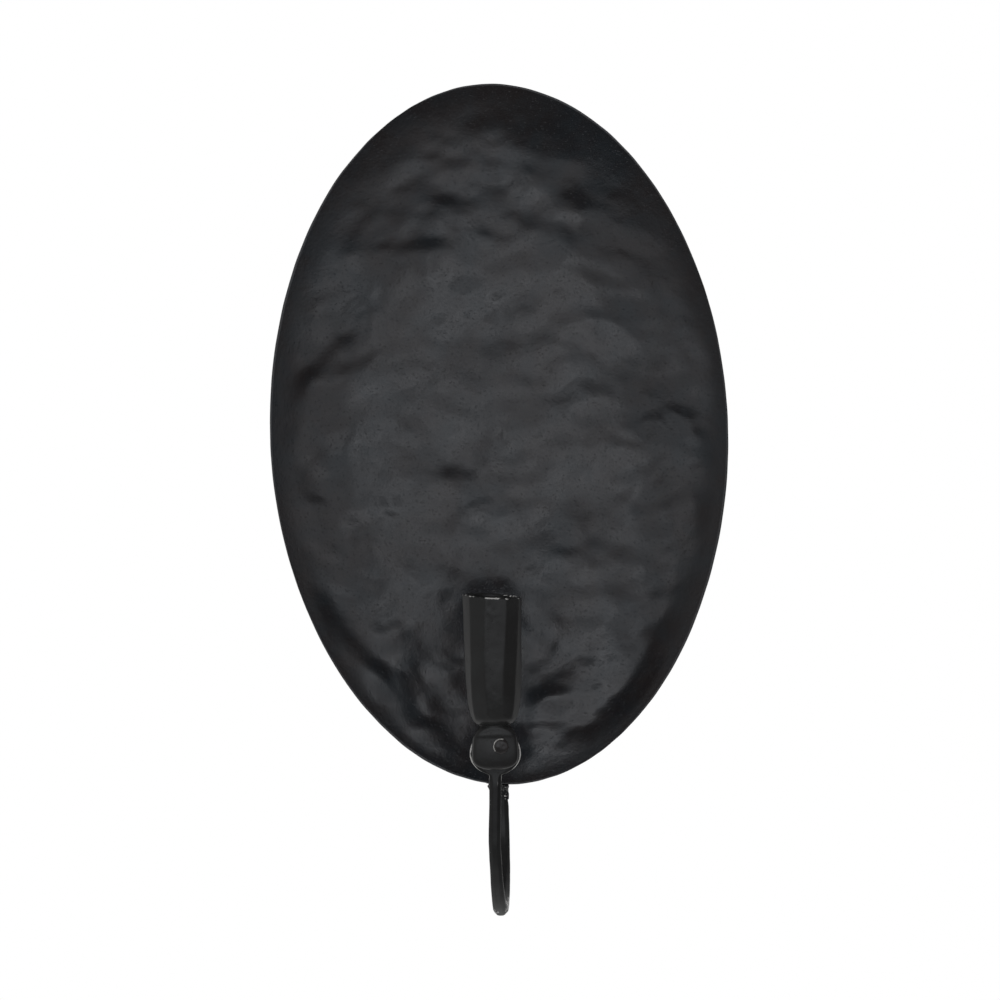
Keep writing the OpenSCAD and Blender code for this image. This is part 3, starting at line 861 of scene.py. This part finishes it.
def cup_flats(phi, down):
    """Share of the radius at an angle: flat between corners that drift round on the way down."""
    share = np.ones_like(phi)
    count = len(cup_corners)
    drift = np.clip(down / cup_length * 1.6, 0, 1)
    corners = []
    for k in range(count):
        wander = corner_wander * np.sin(90 * down + 2.1 * k)
        corners.append(mix(cup_corners[k], cup_corners_low[k], drift) + wander)
    for k in range(count):
        a = corners[k]
        b = corners[(k + 1) % count] + (2 * math.pi if k == count - 1 else 0)
        half = (b - a) / 2
        place = np.mod(phi - a, 2 * math.pi)
        inside = place <= 2 * half
        share = np.where(inside, np.cos(half) / np.cos(np.where(inside, place - half, 0)), share)
    return share


def body_r(down):
    """Radius of the cup's body at a place down from the rim, and of the hollow under it."""
    share = np.clip(down / cup_length, 0, 1)
    body = neck_r + (cup_r - neck_r) * (1 - cup_taper * share) * np.sqrt(1 - share**9)
    near = np.clip(np.abs(down - cup_length) / neck_hollow_r, 0, 1)
    return np.maximum(body, neck_r + neck_hollow_r * (1 - np.sqrt(1 - near * near)))


def ball_r(low):
    """Half width of the ball at a place below the body: the slope, the arris, the round foot."""
    if low < ball_slope:
        return mix(neck_r, arris_share * ball_half_w, low / ball_slope)
    if low < ball_rise:
        turn = math.pi / 2 * (low - ball_slope) / (ball_rise - ball_slope)
        return ball_half_w * mix(arris_share, 1, math.sin(turn))
    return ball_half_w * max(0.0, 1 - ((low - ball_rise) / (ball_height - ball_rise)) ** 2.5) ** 0.4


def lip_highlight_and_wear_at(toward, middle, spread, strength):
    """How much painted highlight and rubbed bare metal the lip gets in each direction round one place."""
    return strength * np.exp(-((toward - middle) / spread) ** 2)


# The blank's rings, from the ball's foot up to the rim, over the lip, and down the bore into its cone
cup_rings = []
for share in np.linspace(1, 0, 26):
    low = mix(ball_slope, ball_height * 0.993, 1 - (1 - share) ** 1.5)
    cup_rings.append((-cup_length - low, ball_r(low)))
for low in (0.0046, 0.0034, 0.0022, 0.0011, 0.0005):
    cup_rings.append((-cup_length - low, ball_r(low)))
for share in 1 - np.linspace(0, 1, 54) ** 1.4:
    down = max(lip_height, cup_length * share)
    cup_rings.append((-down, float(body_r(down))))
cup_rings += [
    (-0.00022, cup_r - 0.00012),
    (0.0, cup_r - 0.00050),
    (0.0, cup_r - 0.0011),
    (0.0, socket_r + 0.0006),
    (-0.00008, socket_r + 0.00022),
    (-0.0004, socket_r + 0.00002),
]
for down in np.linspace(0.0010, socket_depth, 9):
    cup_rings.append((-down, socket_r))
for share in np.linspace(0, 1, 8)[1:]:
    cup_rings.append((mix(-socket_depth, -socket_point, share), mix(socket_r, neck_r / 2, share)))
cup = draw_out("forged_candle_cup", points_round_cup, [(z, r, r) for z, r in cup_rings])
cup_points = mesh_points(cup)
down = -cup_points[:, 2]
radius = np.hypot(cup_points[:, 0], cup_points[:, 1])
phi = np.mod(np.arctan2(-cup_points[:, 1], cup_points[:, 0]), 2 * math.pi)
outside = (radius > socket_r + wall_margin) | (down > socket_point + wall_margin)
outside |= radius > body_r(down) - 10 * wall_margin
# Flats down the outside, which end in soft scallops above the neck
end = smooth((down / cup_length - 0.89 - 0.02 * np.sin(5 * phi)) / 0.09)
lip = smooth((radius - socket_r - wall_margin) / 0.0012)
on_body = outside & (down < cup_length)
depth = np.where(on_body, facet_depth * (1 - end) * np.where(down < lip_height, lip, 1), 0)
cup_points[:, :2] *= mix(1, cup_flats(phi, down), depth)[:, None]
# The neck is hammered thinner from the front, and the ball is flat there, slightly domed, with full sides
low = down - cup_length
narrow = mix(1, neck_depth / neck_r, smooth((low + 0.003) / 0.003))
side = np.sign(np.cos(phi)) * np.abs(np.cos(phi)) ** (2 / ball_fullness)
face = -np.sign(np.sin(phi)) * np.abs(np.sin(phi)) ** (2 / ball_fullness)
formed = smooth(low / 0.003)
flat_y = mix(neck_depth, ball_half_t, np.clip(low / ball_slope, 0, 1))
dome = ((radius * side) ** 2 + (low - ball_rise) ** 2) / (2 * ball_dome_r) * smooth(low / ball_slope)
# Only the front is domed: the back lies flat on the leaf
flat_y -= dome * np.where(face < 0, 1, 0.15)
ball_x_here = mix(cup_points[:, 0], radius * side, formed)
ball_y_here = mix(cup_points[:, 1] * neck_depth / neck_r, radius * face, formed)
ball_y_here /= (1 + np.abs(ball_y_here / flat_y) ** 9) ** (1 / 9)
neck_y_here = np.where(outside, cup_points[:, 1] * narrow, cup_points[:, 1])
cup_points[:, 1] = np.where(low > 0, ball_y_here, neck_y_here)
cup_points[:, 0] = np.where(low > 0, ball_x_here, cup_points[:, 0])
slant_outside = 1 - smooth(4 * down / cup_length)
slant_inside = np.clip(1 - down / socket_depth, 0, 1)
cup_points[:, 2] -= rim_slant * np.where(outside, slant_outside, slant_inside) * cup_points[:, 0]
for point, is_outside, deep in zip(cup_points, outside, down):
    beat = dented(point, pace=140, depth=0.00010, finer=2.7, fine_depth=0.00005)
    if is_outside:
        point += beat
    if is_outside and point[1] < -0.008:
        for pit_x, pit_down, size in scale_pits:
            near = math.exp(-((point[0] - pit_x) ** 2 + (deep - pit_down) ** 2) / (2 * size**2))
            point[1] += near * noise.noise(Vector(point) * 620) * scale_pit_depth
    if deep < lip_rough_height:
        point[2] += 0.00022 * noise.noise(Vector((point[0] * 300, point[1] * 300, 0)))
        point[2] += 0.00035 * noise.noise(Vector((point[0] * 90, point[1] * 90, 5)))
# The cup leans to the left about the middle of its ball
lean_x, lean_z = turned(cup_points[:, 0], cup_points[:, 2] + cup_length + ball_rise, cup_lean)
set_points(cup, np.stack([
    ball_x + lean_x,
    ball_y + cup_points[:, 1],
    plate_mid_z + ball_z + lean_z,
], axis=1))
turn_faces_out(cup)
add_modifier(cup, "SUBSURF", levels=1, render_levels=1)
mark_worn_edges(cup, sharpness=0.5)
# The lip is painted pale in front, less on the left, and in specks at the back on the right: a painted
# highlight over metal rubbed bare
cup_points = mesh_points(cup)
cup_x, rise = turned(cup_points[:, 0] - ball_x, cup_points[:, 2] - plate_mid_z - ball_z, -cup_lean)
below_rim = cup_length + ball_rise - rise - rim_slant * cup_x
speck = speckle(cup_points, 900)
toward = np.arctan2(ball_y - cup_points[:, 1], cup_x)
painted_highlight_and_wear = lip_highlight_and_wear_at(toward, *lip_front) + lip_highlight_and_wear_at(toward, *lip_left)
painted_highlight_and_wear += lip_highlight_and_wear_at(toward, *lip_back) * (speck > 0.1)
wear_and_highlight = read_wear_and_highlight(cup) * (1 - 0.9 * smooth((below_rim - 0.84 * cup_length) / 0.003))
write_wear_and_highlight(cup, np.maximum(wear_and_highlight, smooth(painted_highlight_and_wear + 0.8 * speck) * between(below_rim, 0.0009, 0.0004)))
cup_finish = lacquered_iron(
    "forged cup lacquer", dark=(0.0120, 0.0115, 0.0115, 1), light=(0.0170, 0.0175, 0.0175, 1),
    rough=0.31, gloss_index=1.5, grain_depth=0.00007, pit_depth=0.00008,
)
finish_piece(cup, "candle_cup", cup_finish, smooth_angle=38)


# The rivet
# A 5 mm iron rivet through the ball and the leaf. Its round head is in front, slightly right of and
# above the ball's middle, and its tail is hammered over a little flatter behind the leaf.
rivet_low, rivet_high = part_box("cup_rivet")
rivet_x = (rivet_low.x + rivet_high.x) / 2
rivet_z = (rivet_low.z + rivet_high.z) / 2
head_seat = ball_y - ball_half_t
tail_seat = -arm_reach + leaf_half_t
head_half = 0.0034
head_height = head_seat - rivet_low.y
tail_half = (rivet_high.x - rivet_low.x) / 2
tail_height = rivet_high.y - tail_seat
shank_r = 0.0025
points_round_rivet = 48
# The head's underside is driven into the domed face, so that it sits close above the ball's middle too
head_sink = 0.0009
# Step between the rings of a sharp corner
corner_step = 0.00002

# The blank stands head down, and is laid back into its hole after the hammer has done its work
rivet_rings = []
for turn in np.radians(np.linspace(8, 84, 14)):
    crown = 0.12 + 0.88 * math.cos(turn) ** 0.5
    rivet_rings.append((-head_height * crown, head_half * math.sin(turn) ** 0.75))
shank_length = tail_seat - head_seat
rivet_rings += [
    (-head_height * 0.10, head_half),
    (head_sink, head_half * 0.985),
    (head_sink + corner_step, shank_r),
    (shank_length, shank_r),
    (shank_length + corner_step, tail_half * 0.985),
    (shank_length + tail_height * 0.14, tail_half),
]
for turn in np.radians(np.linspace(82, 8, 12)):
    crown = 0.16 + 0.84 * math.cos(turn) ** 0.7
    rivet_rings.append((shank_length + tail_height * crown, tail_half * math.sin(turn)))
rivet = draw_out("hammered_rivet", points_round_rivet, [(z, r, r) for z, r in rivet_rings])
blank = mesh_points(rivet)
turn = np.arctan2(blank[:, 1], blank[:, 0])
blank[:, :2] *= (1 + 0.012 * np.sin(5 * turn + 1) + 0.008 * np.sin(9 * turn))[:, None]
blank[:, 2] += 0.00006 * np.sin(3 * turn + 2) * (np.hypot(blank[:, 0], blank[:, 1]) < head_half * 0.8)
set_points(rivet, np.stack([rivet_x + blank[:, 0], head_seat + blank[:, 2], rivet_z - blank[:, 1]], axis=1))
turn_faces_out(rivet)
mark_worn_edges(rivet, sharpness=0.5)
# Only the upper left of the head's edge is painted pale: a painted highlight of the light from the left
rivet_points = mesh_points(rivet)
right = (rivet_points[:, 0] - rivet_x) / head_half
up = (rivet_points[:, 2] - rivet_z) / head_half
painted_highlight_and_wear = between(np.hypot(right, up), 0.87, 0.92) * between(0.55 * up - 0.83 * right, 0.1, 0.4)
write_wear_and_highlight(rivet, painted_highlight_and_wear * (rivet_points[:, 1] < head_seat))
rivet_finish = lacquered_iron(
    "rivet lacquer", dark=(0.014, 0.012, 0.012, 1), light=(0.024, 0.019, 0.019, 1),
    rough=0.28, gloss_index=1.6, grain_depth=0.00004, pit_depth=0.00004,
)
finish_piece(rivet, "cup_rivet", rivet_finish, smooth_angle=50)


# The studio
# One wide soft light in front, brightest a little above the camera and fading outwards in nested
# ovals, and narrow ovals that make the streaks on the plate and the cup. The white surround shows
# only behind the object and in its reflections, and the floor is pale.
plate_distance = 1.100
picture_size = 1000
pixels_per_radian = 2261
plate_pixel_x = 499.1
plate_pixel_y = 434.2
camera_data = bpy.data.cameras.new("camera")
camera_data.sensor_width = 36
camera_data.lens = pixels_per_radian * camera_data.sensor_width / picture_size
camera_data.shift_x = -(plate_pixel_x - picture_size / 2) / picture_size
camera_data.shift_y = (plate_pixel_y - picture_size / 2) / picture_size
camera = bpy.data.objects.new("camera", camera_data)
camera.location = (0, -plate_distance, plate_mid_z)
camera.rotation_euler = (math.pi / 2, 0, 0)
bpy.context.scene.collection.objects.link(camera)
bpy.context.scene.camera = camera

light_distance = 2.0
light_step = 0.02
light_shift = 0.12
# Middle, half width, lower and upper edge of each oval in degrees, seen from the plate, and its strength
wide_ovals = [
    (0, 48, -15, 20, 0.07), (0, 43, -15, 19, 0.11), (0, 38, -13, 17, 0.12), (0, 32, -12, 15, 0.07),
]
narrow_ovals = [
    (-2, 14, 2.8, 4.5, 1.80), (3, 9, -5.5, -4, 1.30), (-6.5, 1.2, -3, 3, 1.60), (6, 1, -4, 1, 1.60),
    (0, 18, 8.5, 11, 1.90), (-23, 9, 1, 5, 0.60), (22, 9, -5, 0, 0.65), (-21, 9, -9, -5, 0.40),
    (25, 9, 5, 9, 0.40),
]
for i, (side_angle, half_angle, low_angle, high_angle, radiance) in enumerate(wide_ovals + narrow_ovals):
    side = light_distance * math.tan(math.radians(side_angle))
    half = light_distance * math.tan(math.radians(half_angle))
    foot = light_distance * math.tan(math.radians(low_angle))
    top = light_distance * math.tan(math.radians(high_angle))
    oval = bpy.data.lights.new("soft light oval", "AREA")
    oval.color = (0.97, 1.0, 1.05)
    oval.shape = "ELLIPSE"
    oval.size = 2 * half
    oval.size_y = top - foot
    oval.energy = radiance * math.pi * math.pi / 4 * oval.size * oval.size_y
    light = bpy.data.objects.new("soft light oval", oval)
    # Each oval hangs a few centimetres in front of the last, so that they add up in a reflection
    shift = light_shift if i < len(wide_ovals) else 0
    light.location = (side + shift, -light_distance + light_step * i, plate_mid_z + (top + foot) / 2)
    light.rotation_euler = (math.pi / 2, 0, 0)
    bpy.context.scene.collection.objects.link(light)

floor_r = 0.50
floor_z = -3.0
bpy.ops.object.select_all(action="DESELECT")
bpy.ops.mesh.primitive_circle_add(vertices=96, radius=floor_r, fill_type="NGON", location=(0, 0, floor_z))
floor = bpy.context.object
floor.name = "pale_floor"
floor_material = bpy.data.materials.new("pale floor")
floor_material.use_nodes = True
floor_shader = floor_material.node_tree.nodes["Principled BSDF"]
floor_shader.inputs["Base Color"].default_value = (0.82, 0.82, 0.82, 1)
floor_shader.inputs["Roughness"].default_value = 0.7
floor.data.materials.append(floor_material)

world = bpy.data.worlds.new("white surround")
bpy.context.scene.world = world
world.use_nodes = True
# Sampling by the lamps' way would lose the kind of ray that the strength below asks for
world.cycles.sampling_method = "NONE"
world_tree = world.node_tree
backdrop = world_tree.nodes["Background"]
rays = Maths(world_tree)
direction = rays.node("ShaderNodeTexCoord", {}, {}, output="Generated")
splitter = "ShaderNodeSeparateXYZ"
right, behind, above = [rays.node(splitter, {}, {"Vector": direction}, output=k) for k in range(3)]
camera_ray = rays.node("ShaderNodeLightPath", {}, {}, output="Is Camera Ray")
glossy_ray = rays.node("ShaderNodeLightPath", {}, {}, output="Is Glossy Ray")
# What a reflection sees: white straight behind the object, dim at its back, left and foot, dark elsewhere
surround = 0.03 + behind.between(0.2, 0.7) * 0.22 + behind.between(0.93, 1.0) * 0.7
surround += (0 - right).between(0.4, 0.9) * 0.16 + (0 - above).between(0.5, 0.85) * 0.30
seen = glossy_ray * surround + (1 - glossy_ray) * 0.75
strength = camera_ray + (1 - camera_ray) * seen
world_tree.links.new(strength.socket, backdrop.inputs["Strength"])
backdrop.inputs["Color"].default_value = (1, 1, 1, 1)

bpy.context.scene.view_settings.view_transform = "Standard"
